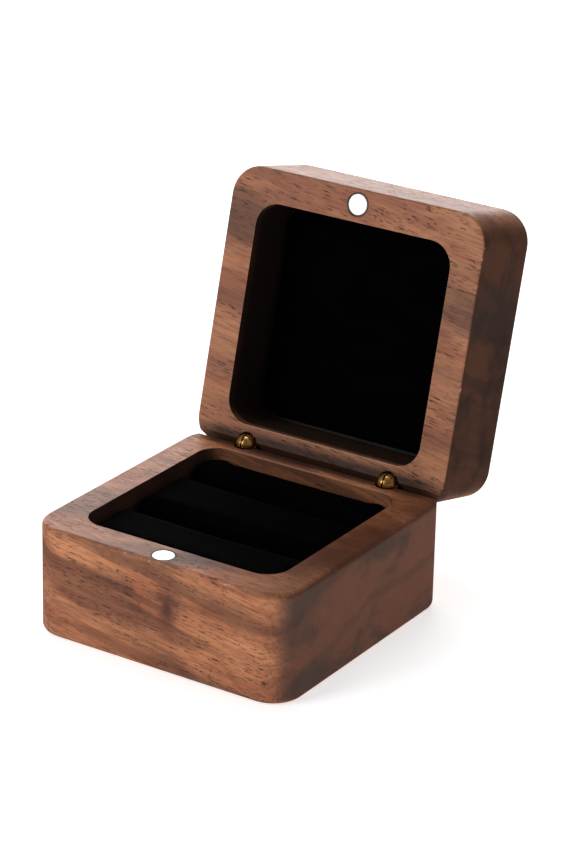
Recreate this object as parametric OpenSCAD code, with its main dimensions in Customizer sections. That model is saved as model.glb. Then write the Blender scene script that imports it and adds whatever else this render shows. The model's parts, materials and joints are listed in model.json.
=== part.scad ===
// Hinged wooden ring box: a square walnut base and lid joined by two barrel hinges
// with ball knuckles, closed by two disc magnets, with a three-roll velvet cushion.
// Millimetres, +Z up, hinge at +Y, front at -Y. The lid is built at its open stop.

/* [Box] */
// Width and depth of the box, outside
box_width = 56; // [54:1:70]
// Height of the base, underside to rim
base_height = 21.8; // [18:0.1:30]
// Height of the lid, mating face to top
lid_height = 18; // [15.5:0.1:26]
// Wall thickness at the rim
wall = 6.4; // [5.8:0.1:7]
// Radius of the outer vertical corners
corner_radius = 6.2; // [4:0.1:10]
// Radius of the cavity's vertical corners
cavity_radius = 4.8; // [2:0.1:8]
// Thickness of the wood under the base cavity
base_floor = 4.6; // [3:0.1:6]
// Depth of the cavity in the lid
lid_cavity_depth = 12.8; // [8:0.1:13]
// Rounding of the edges that face away from the joint
outer_edge = 1.2; // [0.5:0.1:2]
// Rounding of the base's outer rim
base_rim_edge = 0.9; // [0.2:0.1:1.2]
// Rounding of the lid's outer rim
lid_rim_edge = 0.5; // [0.2:0.1:1.2]
// Gap between the two mating faces when closed
mating_gap = 0.3; // [0.1:0.05:0.4]

/* [Rear chamfers] */
// Width of each chamfer across the mating face
chamfer_width = 3.4; // [3:0.1:4]
// Depth of each chamfer down the rear face
chamfer_depth = 3.4; // [3.4:0.1:4.5]

/* [Hinges] */
// Full opening angle of the lid
open_angle = 104; // [90:1:104]
// Distance of each hinge from the centre line
hinge_x = 16; // [12:0.1:18]
// Distance from the rear face to the hinge's pivot line
hinge_inset = 2.7; // [2.5:0.05:2.7]
// Diameter of the hinge barrels and of their ball knuckles
barrel_diameter = 4; // [3:0.5:4]
// Length of a barrel from its pivot to its buried end
barrel_length = 10.5; // [8:0.5:12]
// Number of ribs that grip the wood round each barrel
rib_count = 4; // [3:1:5]
// Diameter of the hinge pins
pin_diameter = 1; // [0.8:0.1:1.2]
// Length of the hinge pins
pin_length = 3.6; // [3:0.1:3.6]

/* [Magnets] */
// Diameter of the closing magnets
magnet_diameter = 4; // [3:0.5:4.5]
// Thickness of the closing magnets
magnet_thickness = 2; // [1:0.5:3]
// Distance from the front face to the magnet's axis
magnet_inset = 3.05; // [3:0.05:3.3]

/* [Cushion] */
// Thickness of the board under the rolls
board_thickness = 1.2; // [0.8:0.1:2]
// Depth of the front roll, front to back
front_roll_depth = 15.3; // [12:0.1:17]
// Depth of the middle roll, front to back
middle_roll_depth = 16.8; // [12:0.1:18]
// Width of the ring slot behind the front roll
front_slot = 1.2; // [0.8:0.1:2]
// Width of the ring slot behind the middle roll
rear_slot = 1; // [0.8:0.1:1.5]
// Depth of the front and middle rolls' tops below the rim
roll_drop = 1.6; // [1:0.1:4]
// Depth of the rear roll's top below the rim
rear_roll_drop = 1; // [0.6:0.1:4]
// Radius of the rolls' top edges along the ring slots
slot_edge = 2.2; // [1:0.1:3]
// Radius of the rolls' top edges along the walls
wall_edge = 0.8; // [0.4:0.1:2]
// Thickness of the velvet lining in the lid
lining_thickness = 1.4; // [0.8:0.1:3]
// Thickness of the board behind the lining
lining_board = 0.9; // [0.6:0.1:2]

/* [Hidden] */
$fn = 96;
eps = 0.5;
huge = 40;
cavity_width = box_width - 2 * wall;
rear_y = box_width / 2;
hinge_y = rear_y - hinge_inset;
pivot_rise = mating_gap / 2;
magnet_y = magnet_inset - box_width / 2;
barrel_r = barrel_diameter / 2;
shank_r = barrel_r - 0.05;
rib_r = barrel_r + 0.08;
hole_slack = 0.1;
hinge_hole_r = barrel_r + hole_slack;
mouth_r = barrel_r + 0.35;
mouth_depth = 2;
knuckle_clearance = 0.06;
cheek_gap = 0.2;
pin_clearance = 0.03;
magnet_recess = 0.05;
magnet_hole_r = magnet_diameter / 2 + 0.15;
soft_gap = 0.1;
roll_foot = 0.4;
soft_width = cavity_width - 2 * soft_gap;
soft_radius = cavity_radius - soft_gap;
soft_front = -soft_width / 2;
board_top = base_floor + board_thickness;
middle_front = soft_front + front_roll_depth + front_slot;
rear_front = middle_front + middle_roll_depth + rear_slot;
rear_roll_depth = soft_width / 2 - rear_front;
lining_front = lid_cavity_depth - lining_board - lining_thickness;

walnut = [0.40, 0.23, 0.13];
brass = [0.80, 0.62, 0.28];
nickel = [0.78, 0.78, 0.77];
velvet = [0.035, 0.035, 0.04];
card = [0.10, 0.09, 0.09];

// Section from an inner axis out to a wall, with a rounded foot and head.
module edge_section(reach, height, foot, head) {
    difference() {
        square([reach, height]);
        translate([reach - foot, 0]) difference() {
            square(foot);
            translate([0, foot]) circle(foot);
        }
        translate([reach - head, height - head]) difference() {
            square(head);
            circle(head);
        }
    }
}

// Square block with round vertical corners and rounded top and bottom edges.
module soft_block(width, height, radius, foot, head) {
    side = width - 2 * radius;
    translate([-side / 2, -side / 2, 0]) cube([side, side, height]);
    for (turn = [0 : 90 : 270]) rotate(turn) translate([side / 2, side / 2, 0]) {
        rotate_extrude(angle = 90) edge_section(radius, height, foot, head);
        rotate([90, 0, 0]) linear_extrude(side) edge_section(radius, height, foot, head);
    }
}

// Square block with round vertical corners and sharp edges.
module plain_block(width, height, radius) {
    side = width - 2 * radius;
    linear_extrude(height) {
        square([width, side], center = true);
        square([side, width], center = true);
        for (sx = [-1, 1], sy = [-1, 1]) translate([sx * side / 2, sy * side / 2]) circle(radius);
    }
}

// Wedge that cuts the rear chamfer from a block whose mating face is at z = 0.
module chamfer_wedge() {
    reach = 2;
    slope = chamfer_depth / chamfer_width;
    translate([-box_width, 0, 0]) rotate([90, 0, 90]) linear_extrude(2 * box_width)
        polygon([[rear_y - chamfer_width - reach / slope, reach],
                 [rear_y + reach, -chamfer_depth - reach * slope],
                 [rear_y + reach, reach]]);
}

// Hinge and magnet holes in a mating face at z = 0, opening upward.
module joint_holes() {
    hole_depth = barrel_length - pivot_rise + hole_slack;
    for (side = [-1, 1]) translate([side * hinge_x, hinge_y, 0]) {
        translate([0, 0, -hole_depth]) cylinder(r = hinge_hole_r, h = hole_depth + eps);
        translate([0, 0, -mouth_depth]) cylinder(r = mouth_r, h = mouth_depth + eps);
    }
    translate([0, magnet_y, -magnet_thickness - magnet_recess])
        cylinder(r = magnet_hole_r, h = magnet_thickness + magnet_recess + eps);
}

// Moves parts modelled on the lid, mating face at z = 0, to the open stop.
module on_lid() {
    translate([0, hinge_y, base_height + pivot_rise]) rotate([-open_angle, 0, 0])
        translate([0, -hinge_y, pivot_rise]) children();
}

// Everything beyond a plane x = reach, on the -X side.
module left_of(reach) {
    translate([reach - huge, -huge / 2, -huge / 2]) cube(huge);
}

// Ribbed shank of a hinge barrel, hanging from its pivot and cut back to clear the
// other barrel at the open stop.
module shank() {
    rib_pitch = (barrel_length - 1.5 * barrel_diameter) / rib_count;
    difference() {
        union() {
            translate([0, 0, -barrel_length]) cylinder(r = shank_r, h = barrel_length - pivot_rise);
            for (rib = [0 : rib_count - 1])
                translate([0, 0, (rib + 0.6) * rib_pitch - barrel_length])
                    cylinder(r = rib_r, h = rib_pitch / 2);
        }
        rotate([-open_angle / 2, 0, 0]) translate([-huge / 2, -huge / 2, -knuckle_clearance]) cube(huge);
    }
}

// One hinge barrel, pivot at the origin: its half of the ball knuckle lies at +X, with
// a cup at -X for the other barrel's half.
module barrel() {
    difference() {
        union() {
            shank();
            sphere(r = barrel_r);
        }
        intersection() {
            left_of(cheek_gap / 2);
            union() {
                sphere(r = barrel_r + knuckle_clearance);
                translate([-huge / 2, -huge / 2, -barrel_r / 2]) cube(huge);
            }
        }
        rotate([0, 90, 0]) cylinder(r = pin_diameter / 2 + pin_clearance, h = huge, center = true);
    }
}

module base_barrel(side) {
    color(brass) translate([side * hinge_x, hinge_y, base_height + pivot_rise]) barrel();
}

module lid_barrel(side) {
    color(brass) on_lid() translate([side * hinge_x, hinge_y, -pivot_rise]) rotate([180, 0, 180]) barrel();
}

module hinge_pin(side) {
    color(brass) translate([side * hinge_x, hinge_y, base_height + pivot_rise]) rotate([0, 90, 0])
        cylinder(d = pin_diameter, h = pin_length, center = true);
}

module left_base_barrel() { base_barrel(-1); }
module right_base_barrel() { base_barrel(1); }
module left_lid_barrel() { lid_barrel(-1); }
module right_lid_barrel() { lid_barrel(1); }
module left_hinge_pin() { hinge_pin(-1); }
module right_hinge_pin() { hinge_pin(1); }

module base_shell() {
    color(walnut) difference() {
        soft_block(box_width, base_height, corner_radius, outer_edge, base_rim_edge);
        translate([0, 0, base_floor]) plain_block(cavity_width, base_height, cavity_radius);
        translate([0, 0, base_height]) chamfer_wedge();
        translate([0, 0, base_height]) joint_holes();
    }
}

module lid_shell() {
    color(walnut) on_lid() difference() {
        soft_block(box_width, lid_height, corner_radius, lid_rim_edge, outer_edge);
        translate([0, 0, -eps]) plain_block(cavity_width, lid_cavity_depth + eps, cavity_radius);
        mirror([0, 0, 1]) chamfer_wedge();
        mirror([0, 0, 1]) joint_holes();
    }
}

module base_magnet() {
    color(nickel) translate([0, magnet_y, base_height - magnet_recess - magnet_thickness])
        cylinder(d = magnet_diameter, h = magnet_thickness);
}

module lid_magnet() {
    color(nickel) on_lid() translate([0, magnet_y, magnet_recess])
        cylinder(d = magnet_diameter, h = magnet_thickness);
}

module cushion_board() {
    color(card) translate([0, 0, base_floor]) plain_block(soft_width, board_thickness, soft_radius);
}

// One padded roll across the box: straight sides, a slightly crowned top, and its own
// radius on each top edge.
module roll(front, depth, top, front_edge, rear_edge) {
    height = top - board_top;
    crown = 4 * depth;
    color(velvet) intersection() {
        translate([-soft_width / 2, front + depth / 2, board_top]) rotate([90, 0, 90])
            linear_extrude(soft_width) intersection() {
                translate([0, height - crown]) circle(crown);
                union() {
                    edge_section(depth / 2, height, roll_foot, rear_edge);
                    mirror([1, 0]) edge_section(depth / 2, height, roll_foot, front_edge);
                }
            }
        plain_block(soft_width, base_height, soft_radius);
    }
}

module cushion_front_roll() {
    roll(soft_front, front_roll_depth, base_height - roll_drop, wall_edge, slot_edge);
}

module cushion_middle_roll() {
    roll(middle_front, middle_roll_depth, base_height - roll_drop, slot_edge, slot_edge);
}

module cushion_rear_roll() {
    roll(rear_front, rear_roll_depth, base_height - rear_roll_drop, slot_edge, wall_edge);
}

module lid_lining_board() {
    color(card) on_lid() translate([0, 0, lid_cavity_depth - lining_board])
        plain_block(soft_width, lining_board, soft_radius);
}

module lid_lining() {
    color(velvet) on_lid() translate([0, 0, lining_front])
        soft_block(soft_width, lining_thickness, soft_radius, lining_thickness / 2, 0.1);
}

base_shell();
lid_shell();
base_magnet();
lid_magnet();
left_base_barrel();
right_base_barrel();
left_lid_barrel();
right_lid_barrel();
left_hinge_pin();
right_hinge_pin();
cushion_board();
cushion_front_roll();
cushion_middle_roll();
cushion_rear_roll();
lid_lining_board();
lid_lining();
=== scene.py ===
import json
import math
from collections import namedtuple

import bpy
from mathutils import Matrix, Vector, noise


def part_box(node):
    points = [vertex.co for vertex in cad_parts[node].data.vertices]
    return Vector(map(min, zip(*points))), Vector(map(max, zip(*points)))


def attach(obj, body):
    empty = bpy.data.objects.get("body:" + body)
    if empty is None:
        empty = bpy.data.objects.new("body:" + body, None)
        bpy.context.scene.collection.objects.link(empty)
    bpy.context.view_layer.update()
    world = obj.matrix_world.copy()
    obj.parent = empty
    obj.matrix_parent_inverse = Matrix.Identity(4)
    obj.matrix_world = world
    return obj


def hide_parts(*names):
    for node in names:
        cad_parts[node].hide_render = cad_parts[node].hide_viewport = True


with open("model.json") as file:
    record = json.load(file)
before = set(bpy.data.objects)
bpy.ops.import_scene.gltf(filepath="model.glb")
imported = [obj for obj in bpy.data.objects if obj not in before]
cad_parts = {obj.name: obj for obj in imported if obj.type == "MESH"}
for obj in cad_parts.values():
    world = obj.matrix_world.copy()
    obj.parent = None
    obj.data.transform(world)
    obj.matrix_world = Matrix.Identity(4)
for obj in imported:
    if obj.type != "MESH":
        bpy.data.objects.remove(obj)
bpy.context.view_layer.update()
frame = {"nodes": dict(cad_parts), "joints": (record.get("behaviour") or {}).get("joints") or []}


# ---------------------------------------------------------------- sizes, in metres and degrees
def centre_of(node):
    """Centre of a CAD node's box."""
    low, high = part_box(node)
    return (low + high) / 2


MM = 0.001
CAMERA_AT = Vector((0.30438, -0.45851, 0.27060))
CAMERA_YAW = 32.72
CAMERA_PITCH = -22.97
CAMERA_ROLL = 1.36
CAMERA_LENS = 136.16
CAMERA_SENSOR = 36
CAMERA_NEAR = 0.05

BASE_LOW, BASE_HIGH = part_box("base_shell")
BOX_WIDTH = BASE_HIGH.x - BASE_LOW.x
BASE_HEIGHT = BASE_HIGH.z
WALL = 6.4 * MM
POCKET_HALF = BOX_WIDTH / 2 - WALL
HINGE = next(Vector(joint["pos_m"]) for joint in frame["joints"] if joint["name"] == "lid_hinge")
HINGE_X = centre_of("right_hinge_pin").x
OPEN_ANGLE = 104.0
MAGNET_LOW, MAGNET_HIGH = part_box("base_magnet")
MAGNET_RADIUS = (MAGNET_HIGH.x - MAGNET_LOW.x) / 2
MAGNET_Y = centre_of("base_magnet").y
KNOT_X = 3.0 * MM
KNOT_Z = 13.2 * MM

# One wooden half. Origin and tilt about X place its own axes, in which it lies as in the shut box.
# Face is the height of its mating face, inward is -1 where its pocket goes down and 1 where it
# goes up, pocket is the pocket's depth, and stain is the depth at which the pocket's painted shade is
# full.
Block = namedtuple("Block", "origin tilt face inward pocket stain")
BASE = Block(
    origin=(0, 0, 0), tilt=0, face=BASE_HEIGHT, inward=-1,
    pocket=BASE_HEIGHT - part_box("cushion_board")[0].z, stain=6 * MM,
)
LID = Block(
    origin=tuple(HINGE), tilt=OPEN_ANGLE, face=0.15 * MM, inward=1,
    pocket=12.8 * MM, stain=2.6 * MM,
)


# ---------------------------------------------------------------- node helpers
def rgba(colour):
    """A colour with its alpha; sockets and colours that have one are passed through."""
    if isinstance(colour, bpy.types.NodeSocket) or len(colour) == 4:
        return colour
    return (*colour, 1.0)


class Nodes:
    """Builds one material's node tree. Its methods add nodes and return their output sockets."""

    def __init__(self, name):
        self.material = bpy.data.materials.new(name)
        self.material.use_nodes = True
        self.tree = self.material.node_tree
        self.shader = self.tree.nodes["Principled BSDF"]

    def add(self, kind, **settings):
        made = self.tree.nodes.new(kind)
        for key, value in settings.items():
            setattr(made, key, value)
        return made

    def put(self, socket, value):
        if isinstance(value, bpy.types.NodeSocket):
            self.tree.links.new(value, socket)
        else:
            socket.default_value = value

    def here(self):
        """The shaded point in the shared frame, as at rest."""
        return self.add("ShaderNodeTexCoord").outputs["Object"]

    def coords(self, scale=(1, 1, 1), turn=(0, 0, 0), shift=(0, 0, 0), source=None):
        mapping = self.add("ShaderNodeMapping")
        self.put(mapping.inputs["Vector"], source or self.here())
        mapping.inputs["Location"].default_value = shift
        mapping.inputs["Rotation"].default_value = [math.radians(a) for a in turn]
        mapping.inputs["Scale"].default_value = scale
        return mapping.outputs["Vector"]

    def local(self, origin, tilt):
        """The shaded point in axes with this origin, tilted about X."""
        return self.coords(turn=(tilt, 0, 0), source=self.vector("SUBTRACT", self.here(), origin))

    def noise(self, vector, scale=1.0, detail=3, rough=0.5, warp=0.0):
        made = self.add("ShaderNodeTexNoise")
        self.put(made.inputs["Vector"], vector)
        made.inputs["Scale"].default_value = scale
        made.inputs["Detail"].default_value = detail
        made.inputs["Roughness"].default_value = rough
        made.inputs["Distortion"].default_value = warp
        return made.outputs["Fac"]

    def wander(self, noise_value, reach):
        """Noise centred on 0 and reach wide, for ragged outlines."""
        return self.math("MULTIPLY", self.math("SUBTRACT", noise_value, 0.5), reach)

    def math(self, operation, a, b=0.0):
        made = self.add("ShaderNodeMath", operation=operation)
        self.put(made.inputs[0], a)
        self.put(made.inputs[1], b)
        return made.outputs[0]

    def times(self, first, *others):
        """The product of all the values."""
        for other in others:
            first = self.math("MULTIPLY", first, other)
        return first

    def most(self, first, *others):
        """The largest of the values."""
        for other in others:
            first = self.math("MAXIMUM", first, other)
        return first

    def size(self, value):
        """The value without its sign."""
        return self.math("ABSOLUTE", value)

    def off(self, value, level):
        """How far a value is from a level, either way."""
        return self.size(self.math("SUBTRACT", value, level))

    def vector(self, operation, a, b=(0, 0, 0)):
        made = self.add("ShaderNodeVectorMath", operation=operation)
        self.put(made.inputs[0], a)
        self.put(made.inputs[1], b)
        return made.outputs["Value" if operation in ("DOT_PRODUCT", "LENGTH") else "Vector"]

    def split(self, vector):
        made = self.add("ShaderNodeSeparateXYZ")
        self.put(made.inputs[0], vector)
        return made.outputs

    def join(self, x, y, z):
        made = self.add("ShaderNodeCombineXYZ")
        for socket, value in zip(made.inputs, (x, y, z)):
            self.put(socket, value)
        return made.outputs[0]

    def fit(self, value, low, high, to_low=0.0, to_high=1.0, smooth=True):
        """Maps low..high to to_low..to_high, held at both ends."""
        made = self.add("ShaderNodeMapRange", interpolation_type="SMOOTHSTEP" if smooth else "LINEAR")
        names = ("Value", "From Min", "From Max", "To Min", "To Max")
        for name, number in zip(names, (value, low, high, to_low, to_high)):
            self.put(made.inputs[name], number)
        return made.outputs["Result"]

    def fade(self, value, start, end, full=1.0):
        """Full up to start, falling to 0 at end."""
        return self.fit(value, start, end, full, 0.0)

    def band(self, value, low, high, soft):
        """1 between low and high, falling to 0 over soft at each side."""
        rising = self.fit(value, low - soft, low + soft)
        return self.times(rising, self.fade(value, high - soft, high + soft))

    def mix(self, factor, a, b):
        made = self.add("ShaderNodeMix", data_type="RGBA")
        self.put(made.inputs["Factor"], factor)
        self.put(made.inputs["A"], rgba(a))
        self.put(made.inputs["B"], rgba(b))
        return made.outputs["Result"]

    def bump(self, height, distance, strength):
        made = self.add("ShaderNodeBump")
        made.inputs["Strength"].default_value = strength
        made.inputs["Distance"].default_value = distance
        self.put(made.inputs["Height"], height)
        return made.outputs["Normal"]

    def edge(self, radius):
        """0 where the surface is flat, rising where it turns sharply within the radius."""
        rounded = self.add("ShaderNodeBevel", samples=6)
        rounded.inputs["Radius"].default_value = radius
        true_normal = self.add("ShaderNodeNewGeometry").outputs["Normal"]
        return self.math("SUBTRACT", 1.0, self.vector("DOT_PRODUCT", rounded.outputs[0], true_normal))

    def finish(self, **sockets):
        """Sets the shader's sockets, with _ for each space in their names."""
        for name, value in sockets.items():
            value = rgba(value) if isinstance(value, tuple) else value
            self.put(self.shader.inputs[name.replace("_", " ")], value)
        return self.material


# ---------------------------------------------------------------- walnut
PALE = (0.600, 0.240, 0.106)
MID = (0.400, 0.132, 0.056)
DARK = (0.110, 0.038, 0.022)
SMOKE = (0.046, 0.026, 0.020)
KNOT_STAIN = (0.190, 0.055, 0.022)
RED_SEAM = (0.090, 0.021, 0.004)
HAZE = (0.155, 0.105, 0.095)
PORE = (0.022, 0.009, 0.007)
# Painted highlight on sharp edges
EDGE_HIGHLIGHT = (0.560, 0.300, 0.200)
# Painted highlight along the pocket's rim on the hinge side
POCKET_RIM_HIGHLIGHT = (0.600, 0.330, 0.220)
CHIP = (0.620, 0.460, 0.380)
# Painted shade for the hinge groove, the rear chamfer and the rings round the hinge balls
HINGE_SHADE = (0.022, 0.009, 0.005)
GLUE = (0.028, 0.016, 0.012)
# Painted shade inside the pocket, darker with depth below the rim
POCKET_SHADE = (0.012, 0.006, 0.004)
WALNUT_SPECULAR = 0.30

# Noise waves per metre, along the grain and in the two directions across it
CLOUD_WAVES = (32, 150, 150)
SMOKE_WAVES = (26, 105, 105)
FIBRE_WAVES = (110, 2100, 2100)
BEND_WAVES = (22, 60, 60)
DRIFT_WAVES = (55, 230, 230)
FRAY_WAVES = (900, 1500, 1500)
BLOTCH_WAVES = (70, 70, 90)
FLECK_WAVES = (1300, 1300, 500)
SPECK_WAVES = (1500, 1500, 1500)
PATCH_WAVES = (120, 120, 120)
SEAM_WAVES = (90, 260, 90)

# Large and small pores: cells in a pore's length along the grain, cells per metre across it, and
# how far from its middle, in cells, a pore is full and gone
PORE_CELLS = ((0.45, 2100, 0.14, 0.36), (0.8, 3300, 0.20, 0.44))


def growth_bands(n, grain, heart, seed):
    """Broad and thin late-wood bands: cylinders round the tree's heart, which is an axis outside
    the block, bent by slow noise."""
    bend = n.noise(n.coords(scale=BEND_WAVES, shift=seed, source=grain))
    x, y, z = n.split(n.vector("SUBTRACT", grain, heart))
    radius = n.math("SQRT", n.math("ADD", n.times(y, y), n.times(z, z)))
    bent = n.math("ADD", radius, n.times(bend, 9 * MM))
    broad_lookup = n.join(n.times(x, 17.0), n.times(bent, 230.0), seed[0])
    broad = n.fit(n.noise(broad_lookup, detail=2, rough=0.45), 0.50, 0.64)
    thin_lookup = n.join(n.times(x, 34.0), n.times(bent, 1150.0), seed[1])
    thin = n.fit(n.noise(thin_lookup, rough=0.6), 0.46, 0.74)
    return broad, thin


def pore_dashes(n, grain, seed, length):
    """Open pores: dark dashes about length long, in drifts, which are dots on the end grain. There
    are large and small ones."""
    drift = n.noise(n.coords(scale=DRIFT_WAVES, shift=seed, source=grain), detail=2)
    fray = n.wander(n.noise(n.coords(scale=FRAY_WAVES, shift=seed, source=grain), detail=2), 1.3)
    found = []
    for along, across, full, gone in PORE_CELLS:
        cells = n.add("ShaderNodeTexVoronoi", feature="F1")
        stretched = n.coords(scale=(along / length, across, across), shift=seed, source=grain)
        n.put(cells.inputs["Vector"], n.vector("ADD", stretched, n.join(fray, fray, fray)))
        cells.inputs["Scale"].default_value = 1.0
        shape = n.fit(cells.outputs["Distance"], gone, full)
        chosen = n.fit(n.split(cells.outputs["Color"])[0], 0.30, 0.55)
        found.append(n.times(shape, chosen))
    both = n.most(found[0], n.times(found[1], 0.7))
    return n.times(both, n.fit(drift, 0.36, 0.58, 0.25, 1.0))


def side_grain(n, grain, seed, banding, haze, broad, thin, smoke, fibre):
    """Colour of the faces along the grain."""
    cloud = n.coords(scale=CLOUD_WAVES, shift=seed, source=grain)
    cloud = n.noise(cloud, detail=4, rough=0.58, warp=0.5)
    body = n.mix(n.fit(cloud, 0.36, 0.60), MID, PALE)
    body = n.mix(n.times(thin, 0.7 * banding), body, DARK)
    body = n.mix(n.times(broad, banding), body, DARK)
    body = n.mix(n.times(n.fit(smoke, 0.54, 0.70), 0.8 * banding), body, SMOKE)
    body = n.mix(n.times(n.fit(fibre, 0.44, 0.66), 0.42), body, DARK)
    return n.mix(haze, body, HAZE)


def end_grain(n, grain, place, seed, ends, broad):
    """Colour of the faces across the grain: soft blotches of the two colours, finely flecked."""
    blotches = n.coords(scale=BLOTCH_WAVES, shift=seed, source=grain)
    blotches = n.noise(blotches, detail=5, rough=0.62, warp=0.3)
    fleck = n.noise(n.coords(scale=FLECK_WAVES, shift=seed, source=place), rough=0.7)
    end = n.mix(n.fit(blotches, 0.40, 0.60), *ends)
    end = n.mix(n.times(broad, 0.50), end, ends[1])
    return n.mix(n.times(n.fit(fleck, 0.45, 0.72), 0.30), end, ends[1])


def edge_highlight_and_chips(n, body, place, facing, seed):
    """Sharp edges painted paler as a painted highlight, and small pale chips on the rounded ones, but
    not on the hinge side.
    """
    # Painted highlight along sharp edges
    crisp = n.fit(n.edge(0.16 * MM), 0.03, 0.16)
    body = n.mix(n.times(crisp, 0.42), body, EDGE_HIGHLIGHT)
    specks = n.noise(n.coords(scale=SPECK_WAVES, shift=seed, source=place), detail=2)
    patches = n.noise(n.coords(scale=PATCH_WAVES, shift=seed, source=place), detail=1)
    rounding = n.band(n.size(facing[2]), 0.45, 0.85, 0.12)
    rounding = n.times(rounding, n.fade(facing[1], 0.40, 0.60))
    chips = n.times(n.fit(specks, 0.56, 0.64), n.fit(patches, 0.46, 0.60))
    return n.mix(n.times(rounding, chips, 0.7), body, CHIP)


def walnut(name, block, lean, seed, heart, banding, haze, pore_length, ends, dark_zones):
    """Oiled walnut cut from one block. Lean turns its grain off X, seed shifts its noise, heart is
    the axis of its growth bands and banding their strength, haze greys its faces along the grain,
    ends are the two colours of its end grain, and dark_zones are smoky bands along its grain,
    each (low, high, soft, strength), where low and high are places across the grain."""
    n = Nodes(name)
    place = n.local(block.origin, block.tilt)
    grain = n.coords(turn=lean, source=place)
    normal = n.add("ShaderNodeTexCoord").outputs["Normal"]
    facing = n.split(n.coords(turn=(block.tilt, 0, 0), source=normal))
    end_on = n.fit(n.size(facing[0]), 0.45, 0.97)

    broad, thin = growth_bands(n, grain, heart, seed)
    smoke = n.coords(scale=SMOKE_WAVES, shift=seed, source=grain)
    smoke = n.noise(smoke, detail=4, rough=0.6, warp=0.5)
    fibre = n.noise(n.coords(scale=FIBRE_WAVES, shift=seed, source=grain), rough=0.65)
    pores = pore_dashes(n, grain, seed, pore_length)

    body = side_grain(n, grain, seed, banding, haze, broad, thin, smoke, fibre)
    body = n.mix(n.times(end_on, 0.95), body, end_grain(n, grain, place, seed, ends, broad))
    for low, high, soft, strength in dark_zones:
        across = n.math("ADD", n.split(grain)[1], n.wander(smoke, 7 * MM))
        body = n.mix(n.times(n.band(across, low, high, soft), strength), body, SMOKE)
    pore_strength = n.fit(end_on, 0.0, 1.0, 0.88, 0.30, smooth=False)
    body = n.mix(n.times(pores, pore_strength), body, PORE)
    body = edge_highlight_and_chips(n, body, place, facing, seed)

    gloss = n.math("ADD", n.times(pores, 0.6), fibre)
    gloss = n.fit(gloss, 0.3, 1.1, 0.46, 0.70, smooth=False)
    gloss = n.most(gloss, n.times(end_on, 0.80))
    relief = n.math("SUBTRACT", n.times(fibre, 0.15), pores)
    return n, body, gloss, n.bump(relief, 0.06 * MM, 0.7)


def from_ball(n):
    """Distance from the centre of the nearer hinge ball."""
    x, y, z = n.split(n.vector("SUBTRACT", n.here(), tuple(HINGE)))
    return n.vector("LENGTH", n.join(n.math("SUBTRACT", n.size(x), HINGE_X), y, z))


def hinge_shade(n, body, block):
    """Painted shade that darkens the hinge line, the rear chamfer and a ring round each ball, where
    shadow falls in the groove and round the holes, with a little oil grime.
    """
    x, y, z = n.split(n.local(tuple(HINGE), block.tilt))
    away = n.vector("LENGTH", n.join(0.0, y, z))
    inboard = n.fit(n.size(x), 22 * MM, 28 * MM, 1.0, 0.4)
    line = n.times(n.fade(away, 1.4 * MM, 3.3 * MM, full=0.88), inboard)
    chamfer = n.band(y, -0.5 * MM, 2.0 * MM, 0.3 * MM)
    chamfer = n.times(chamfer, n.fade(away, 3.4 * MM, 4.4 * MM, full=0.70))
    ring = n.fade(from_ball(n), 2.25 * MM, 2.85 * MM, full=0.95)
    return n.mix(n.most(line, chamfer, ring), body, HINGE_SHADE)


def magnet_ring(n, body, block):
    """Glue and dirt in the joint round the magnet: a thin dark ring on the mating face."""
    x, y, z = n.split(n.local(block.origin, block.tilt))
    y = n.math("SUBTRACT", y, MAGNET_Y - block.origin[1])
    ragged = n.wander(n.noise(n.coords(), 1400), 0.25 * MM)
    away = n.math("ADD", n.vector("LENGTH", n.join(x, y, 0.0)), ragged)
    ring = n.fade(away, MAGNET_RADIUS + 0.22 * MM, MAGNET_RADIUS + 0.55 * MM, full=0.85)
    near = n.fade(n.off(z, block.face), 0.5 * MM, 0.9 * MM)
    return n.mix(n.times(ring, near), body, GLUE)


def pocket(n, body, block):
    """The routed pocket is painted darker than the outside as painted shade, deepening from its rim to
    its floor, and a painted highlight runs pale along its rim on the hinge side."""
    x, y, z = n.split(n.local(block.origin, block.tilt))
    y = n.math("ADD", y, block.origin[1])
    depth = n.times(n.math("SUBTRACT", z, block.face), block.inward)
    from_axis = n.most(n.size(x), n.size(y))
    within = n.times(
        n.fade(from_axis, POCKET_HALF + 0.15 * MM, POCKET_HALF + 0.35 * MM),
        n.fade(depth, block.pocket + 1 * MM, block.pocket + 2 * MM),
    )
    # Painted shade, deepening with depth below the rim and just under the lip
    depth_shade = n.fit(depth, 0.1 * MM, block.stain, 0.0, 0.94)
    lip = n.fit(depth, 0.05 * MM, 0.2 * MM, 0.0, 0.45)
    body = n.mix(n.times(within, n.most(depth_shade, lip)), body, POCKET_SHADE)
    # Painted highlight: a pale line along the rim of the pocket's hinge-side wall
    at_wall = n.fade(n.off(y, POCKET_HALF), 0.10 * MM, 0.34 * MM)
    at_rim = n.fade(n.size(depth), 0.10 * MM, 0.34 * MM)
    along = n.fade(n.size(x), POCKET_HALF - 5 * MM, POCKET_HALF - 2 * MM, full=0.55)
    return n.mix(n.times(at_wall, at_rim, along), body, POCKET_RIM_HIGHLIGHT)


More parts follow.
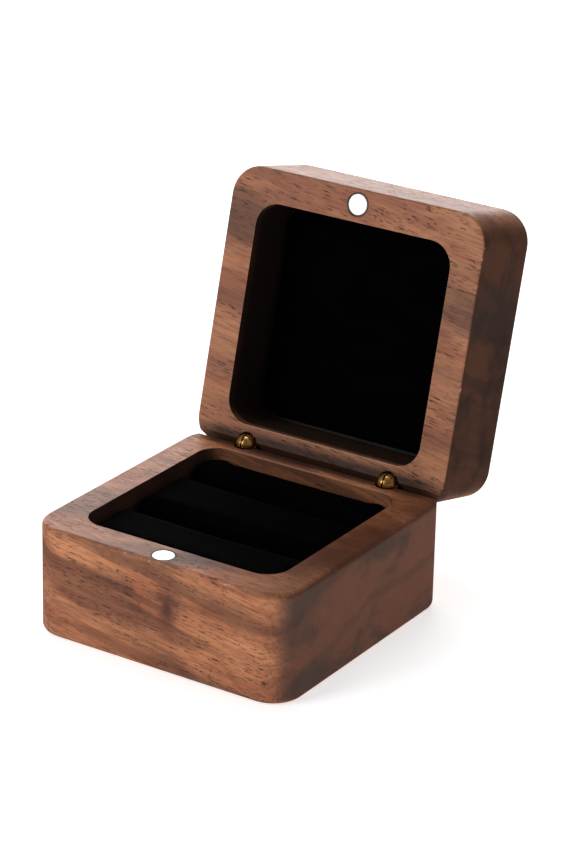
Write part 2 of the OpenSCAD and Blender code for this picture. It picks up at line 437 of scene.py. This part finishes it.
def pin_knot(n, body):
    """The small knot in the front face, below the magnet: a soft dark cross and a red stain."""
    x, y, z = n.split(n.here())
    ripple = n.wander(n.noise(n.coords(), 420), 1.6 * MM)
    across = n.off(n.math("ADD", x, ripple), KNOT_X)
    upright = n.off(z, KNOT_Z)
    from_arms = n.off(n.math("ADD", z, ripple), KNOT_Z + 1.6 * MM)
    front = n.fade(y, BASE_LOW.y + 2 * MM, BASE_LOW.y + 5 * MM)
    arms = n.times(n.fade(across, 0.2 * MM, 6.0 * MM, full=0.80), n.fade(from_arms, 0.0, 1.9 * MM))
    shaft = n.times(n.fade(across, 0.0, 2.3 * MM), n.fade(upright, 0.5 * MM, 5.6 * MM))
    stain = n.times(n.fade(across, 0.5 * MM, 3.2 * MM), n.fade(upright, 4.0 * MM, 9.0 * MM))
    body = n.mix(n.times(stain, front, 0.38), body, KNOT_STAIN)
    return n.mix(n.times(n.most(arms, shaft), front, 0.74), body, SMOKE)


def red_rim(n, body):
    """The rim at +X is a redder, darker seam of the same board, darkest half way along."""
    x, y, z = n.split(n.here())
    drift = n.wander(n.noise(n.coords(scale=SEAM_WAVES)), 9 * MM)
    right = n.fit(n.math("ADD", x, drift), 14 * MM, 24 * MM)
    high = n.fit(z, BASE_HEIGHT - 1.6 * MM, BASE_HEIGHT - 0.3 * MM)
    half_way = n.band(n.math("ADD", y, drift), -14 * MM, 9 * MM, 6 * MM)
    deep = n.fit(half_way, 0.0, 1.0, 0.52, 0.92)
    return n.mix(n.times(right, high, deep), body, RED_SEAM)


def walnut_base():
    n, body, gloss, normal = walnut(
        "walnut_base", BASE, lean=(0, -8.5, 2), seed=(3.7, 1.3, 8.1), heart=(0, 0.012, -0.050),
        banding=0.62, haze=0.0, pore_length=1.5 * MM,
        ends=((0.190, 0.072, 0.042), (0.086, 0.050, 0.039)), dark_zones=(),
    )
    body = hinge_shade(n, body, BASE)
    body = pin_knot(n, body)
    body = red_rim(n, body)
    body = magnet_ring(n, body, BASE)
    body = pocket(n, body, BASE)
    return n.finish(Base_Color=body, Roughness=gloss, Normal=normal, Specular_IOR_Level=WALNUT_SPECULAR)


def walnut_lid():
    n, body, gloss, normal = walnut(
        "walnut_lid", LID, lean=(0, 3, -9), seed=(6.2, 4.9, 2.3), heart=(0, -0.080, 0.020),
        banding=0.24, haze=0.20, pore_length=2.6 * MM,
        ends=((0.085, 0.026, 0.009), (0.026, 0.011, 0.006)),
        dark_zones=((-43.8 * MM, -34.6 * MM, 1.6 * MM, 0.50),),
    )
    body = hinge_shade(n, body, LID)
    body = magnet_ring(n, body, LID)
    body = pocket(n, body, LID)
    return n.finish(Base_Color=body, Roughness=gloss, Normal=normal, Specular_IOR_Level=WALNUT_SPECULAR)


# ---------------------------------------------------------------- metal, velvet, card and paper
BRASS = (0.720, 0.420, 0.130)
TARNISH = (0.300, 0.150, 0.045)
RUBBED_BRASS = (0.900, 0.660, 0.300)
# Painted shade for the slit between the two halves of each hinge ball
SLIT_SHADE = (0.020, 0.010, 0.005)
NICKEL = (0.950, 0.950, 0.940)
DULL_NICKEL = (0.840, 0.840, 0.830)
NICKEL_RIM = (0.300, 0.300, 0.300)
PILE = (0.0004, 0.0004, 0.0005)
BRUSHED_PILE = (0.0009, 0.0010, 0.0010)
TUFT = (0.0018, 0.0020, 0.0018)
SHEEN = (0.300, 0.330, 0.310)
CARD = (0.010, 0.009, 0.008)
CARD_FLECK = (0.022, 0.019, 0.017)
PAPER = (0.930, 0.930, 0.930)
PAPER_MOTTLE = (0.950, 0.950, 0.950)
WHITE = (1.0, 1.0, 1.0)
PAPER_GLOW = 0.60


def brass():
    """Satin brass with brown tarnish, fine turning marks, rubbed edges and painted shade along the slit
    between the two halves of each ball.
    """
    n = Nodes("brass")
    tarnish = n.noise(n.coords(), 750, detail=4, rough=0.6, warp=0.3)
    marks = n.noise(n.coords(scale=(900, 900, 7000)), detail=2)
    colour = n.mix(n.fit(tarnish, 0.40, 0.66), BRASS, TARNISH)
    rubbed = n.times(n.fit(n.edge(0.12 * MM), 0.02, 0.2), 0.5)
    colour = n.mix(rubbed, colour, RUBBED_BRASS)
    # Painted shade along the slit between the ball halves
    from_slit = n.off(n.size(n.split(n.here())[0]), HINGE_X)
    colour = n.mix(n.fade(from_slit, 0.10 * MM, 0.30 * MM, full=0.92), colour, SLIT_SHADE)
    gloss = n.fit(tarnish, 0.3, 0.75, 0.16, 0.34, smooth=False)
    turned = n.bump(marks, 0.01 * MM, 0.35)
    return n.finish(Base_Color=colour, Metallic=1.0, Roughness=gloss, Normal=turned)


def nickel():
    """Bright nickel plating with fine rubbing marks and a darker edge."""
    n = Nodes("nickel")
    rub = n.noise(n.coords(), 1500, detail=4, rough=0.65, warp=1.5)
    colour = n.mix(n.fit(rub, 0.4, 0.8), NICKEL, DULL_NICKEL)
    rim = n.times(n.fit(n.edge(0.18 * MM), 0.02, 0.2), 0.6)
    colour = n.mix(rim, colour, NICKEL_RIM)
    gloss = n.fit(rub, 0.3, 0.8, 0.30, 0.46, smooth=False)
    scuffed = n.bump(rub, 0.01 * MM, 0.2)
    return n.finish(Base_Color=colour, Metallic=0.85, Roughness=gloss, Normal=scuffed)


def velvet():
    """Black velvet: a deep pile that lightens only at grazing angles, brushed in uneven patches."""
    n = Nodes("velvet")
    brushed = n.noise(n.coords(scale=(90, 240, 240)), warp=0.5)
    tufts = n.noise(n.coords(), 5200, rough=0.7)
    colour = n.mix(n.fit(brushed, 0.35, 0.7), PILE, BRUSHED_PILE)
    colour = n.mix(n.fit(tufts, 0.5, 0.8), colour, TUFT)
    return n.finish(
        Base_Color=colour, Roughness=0.95, Normal=n.bump(tufts, 0.12 * MM, 0.8),
        Specular_IOR_Level=0.015,
        Sheen_Weight=0.005, Sheen_Roughness=0.34, Sheen_Tint=SHEEN,
    )


def card():
    """Dark pressed card behind the velvet."""
    n = Nodes("card")
    fleck = n.noise(n.coords(), 1600, detail=4, rough=0.7)
    colour = n.mix(n.fit(fleck, 0.4, 0.7), CARD, CARD_FLECK)
    return n.finish(Base_Color=colour, Roughness=0.9, Normal=n.bump(fleck, 0.05 * MM, 0.5))


def paper():
    """Matte white paper for the floor, very slightly mottled and glowing, so that it stays white."""
    n = Nodes("paper")
    colour = n.mix(n.noise(n.coords(), 9), PAPER, PAPER_MOTTLE)
    return n.finish(
        Base_Color=colour, Roughness=0.9, Specular_IOR_Level=0.1,
        Emission_Color=WHITE, Emission_Strength=PAPER_GLOW,
    )


def dress(material, *names):
    """Puts one material on carried-over CAD nodes."""
    for name in names:
        node = frame["nodes"][name]
        node.data.materials.clear()
        node.data.materials.append(material)


# ---------------------------------------------------------------- padded velvet
# The rolls are too small for a cloth simulation, so they are swollen at this scale.
SWELL_SCALE = 20.0
SWELL_FRAMES = 20
SLACK_WAVES = (260, 150, 150)
GATHER_WAVES = (90, 700, 500)
ROLL_PAD = {
    "inset": 0.45 * MM, "cap": 0.55 * MM, "voxel": 0.8 * MM,
    "pressure": 4.0, "slack": 0.10 * MM, "fill": 0.8,
}
LINING_PAD = {
    "inset": 0.2 * MM, "cap": 0.3 * MM, "voxel": 0.55 * MM,
    "pressure": 2.0, "slack": 0.04 * MM, "fill": 0.5,
}


def plain_copy(name, node, inset):
    """A new object with the CAD node's shape, drawn in by inset on every side, centred on the
    origin and enlarged for the simulation."""
    low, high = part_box(node)
    size = high - low
    centre = centre_of(node)
    piece = bpy.data.objects.new(name, frame["nodes"][node].data.copy())
    bpy.context.scene.collection.objects.link(piece)
    for vertex in piece.data.vertices:
        out = vertex.co - centre
        drawn = Vector([out[i] * (1 - 2 * inset / size[i]) for i in range(3)])
        vertex.co = drawn * SWELL_SCALE
    return piece


def bake(piece):
    """Applies every modifier on the piece to its mesh."""
    depsgraph = bpy.context.evaluated_depsgraph_get()
    made = bpy.data.meshes.new_from_object(piece.evaluated_get(depsgraph))
    piece.modifiers.clear()
    piece.data = made


def remesh(piece, voxel):
    """Even small faces all over, for the cloth."""
    even = piece.modifiers.new("even", "REMESH")
    even.mode = "VOXEL"
    even.voxel_size = voxel * SWELL_SCALE
    bake(piece)


def swell(piece, pressure):
    """Cloth simulation with air pressure and no gravity, applied to the mesh."""
    cloth = piece.modifiers.new("swell", "CLOTH")
    cloth.settings.quality = 6
    cloth.settings.mass = 0.3
    cloth.settings.tension_stiffness = 12
    cloth.settings.compression_stiffness = 12
    cloth.settings.shear_stiffness = 5
    cloth.settings.bending_stiffness = 0.6
    cloth.settings.use_pressure = True
    cloth.settings.uniform_pressure_force = pressure
    cloth.settings.effector_weights.gravity = 0
    cloth.collision_settings.use_collision = False
    cloth.point_cache.frame_start = 1
    cloth.point_cache.frame_end = SWELL_FRAMES
    for number in range(1, SWELL_FRAMES + 1):
        bpy.context.scene.frame_set(number)
    bake(piece)
    bpy.context.scene.frame_set(1)


def settle(piece, start, node, cap):
    """Brings the swollen mesh back to size, with each point within cap of its start and inside the
    CAD node's box."""
    low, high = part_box(node)
    centre = centre_of(node)
    for vertex, first in zip(piece.data.vertices, start):
        moved = (vertex.co - first) / SWELL_SCALE
        if moved.length > cap:
            moved *= cap / moved.length
        place = first / SWELL_SCALE + moved + centre
        vertex.co = [min(max(place[i], low[i]), high[i]) for i in range(3)]
    piece.data.update()


def ruck(piece, node, depth):
    """Slack in the velvet: faint hollows and gathers, deepest towards the two ends of the piece."""
    centre_x = centre_of(node).x
    reach = max(abs(vertex.co.x - centre_x) for vertex in piece.data.vertices)
    normals = [vertex.normal.copy() for vertex in piece.data.vertices]
    for vertex, normal in zip(piece.data.vertices, normals):
        endward = (abs(vertex.co.x - centre_x) / reach) ** 3
        slack = noise.noise(vertex.co * Vector(SLACK_WAVES))
        gather = noise.noise(vertex.co * Vector(GATHER_WAVES))
        vertex.co -= normal * depth * (0.5 + 0.5 * slack + endward * (0.6 + 0.4 * gather))
    piece.data.update()


def smooth(piece):
    """One subdivision and smooth shading."""
    fine = piece.modifiers.new("fine", "SUBSURF")
    fine.levels = 1
    bake(piece)
    for face in piece.data.polygons:
        face.use_smooth = True


def velvet_pad(name, node, body, finish, inset, cap, voxel, pressure, slack, fill):
    """Makes the padded velvet piece that stands for one plain CAD solid."""
    piece = plain_copy(name, node, inset)
    remesh(piece, voxel)
    start = [vertex.co.copy() for vertex in piece.data.vertices]
    swell(piece, pressure)
    settle(piece, start, node, cap)
    ruck(piece, node, slack)
    smooth(piece)
    piece.data.materials.clear()
    piece.data.materials.append(finish)
    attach(piece, body)
    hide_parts(node)


dress(walnut_base(), "base_shell")
dress(walnut_lid(), "lid_shell")
dress(brass(), *[name for name in frame["nodes"] if name.endswith(("barrel", "pin"))])
dress(nickel(), "base_magnet", "lid_magnet")
dress(card(), "cushion_board", "lid_lining_board")

black_velvet = velvet()
for roll in ("cushion_front_roll", "cushion_middle_roll", "cushion_rear_roll"):
    velvet_pad("velvet_" + roll, roll, "base", black_velvet, **ROLL_PAD)
velvet_pad("velvet_lid_lining", "lid_lining", "lid", black_velvet, **LINING_PAD)


# ---------------------------------------------------------------- studio
FLOOR_SIZE = 8
FLOOR_DROP = 0.02 * MM


def make_floor():
    """A white floor just under the box, left out of reflections so that it doesn't veil the wood."""
    bpy.ops.mesh.primitive_plane_add(size=FLOOR_SIZE)
    floor = bpy.context.object
    floor.name = "floor"
    floor.location.z = -FLOOR_DROP
    floor.data.materials.append(paper())
    floor.visible_glossy = False


def softbox(name, at, target, size, radiance):
    """A rectangular lamp of the given radiance, aimed at a point."""
    lamp = bpy.data.lights.new(name, "AREA")
    lamp.shape = "RECTANGLE"
    lamp.size, lamp.size_y = size
    lamp.energy = radiance * math.pi * size[0] * size[1]
    holder = bpy.data.objects.new(name, lamp)
    holder.location = at
    holder.rotation_euler = (Vector(target) - Vector(at)).to_track_quat("-Z", "Y").to_euler()
    bpy.context.scene.collection.objects.link(holder)


def make_world(strength):
    """Even white light from all round."""
    world = bpy.data.worlds.new("studio")
    world.use_nodes = True
    background = world.node_tree.nodes["Background"]
    background.inputs["Color"].default_value = rgba(WHITE)
    background.inputs["Strength"].default_value = strength
    bpy.context.scene.world = world


def make_camera():
    data = bpy.data.cameras.new("camera")
    data.lens = CAMERA_LENS
    data.sensor_width = CAMERA_SENSOR
    data.clip_start = CAMERA_NEAR
    yaw = Matrix.Rotation(math.radians(CAMERA_YAW), 4, "Z")
    pitch = Matrix.Rotation(math.radians(90 + CAMERA_PITCH), 4, "X")
    roll = Matrix.Rotation(math.radians(CAMERA_ROLL), 4, "Z")
    camera = bpy.data.objects.new("camera", data)
    camera.matrix_world = Matrix.Translation(CAMERA_AT) @ yaw @ pitch @ roll
    bpy.context.scene.collection.objects.link(camera)
    bpy.context.scene.camera = camera


make_floor()
make_world(strength=0.22)
softbox("rear", at=(-0.98, 1.10, 0.42), target=(0, 0, 0.12), size=(1.4, 0.85), radiance=4.8)
softbox("key", at=(-0.55, -0.85, 0.55), target=(0, 0, 0.02), size=(0.55, 0.55), radiance=5.6)
softbox("top", at=(-0.20, 0.25, 1.20), target=(0, 0, 0), size=(0.7, 0.7), radiance=2.0)
make_camera()
bpy.context.scene.view_settings.view_transform = "Standard"
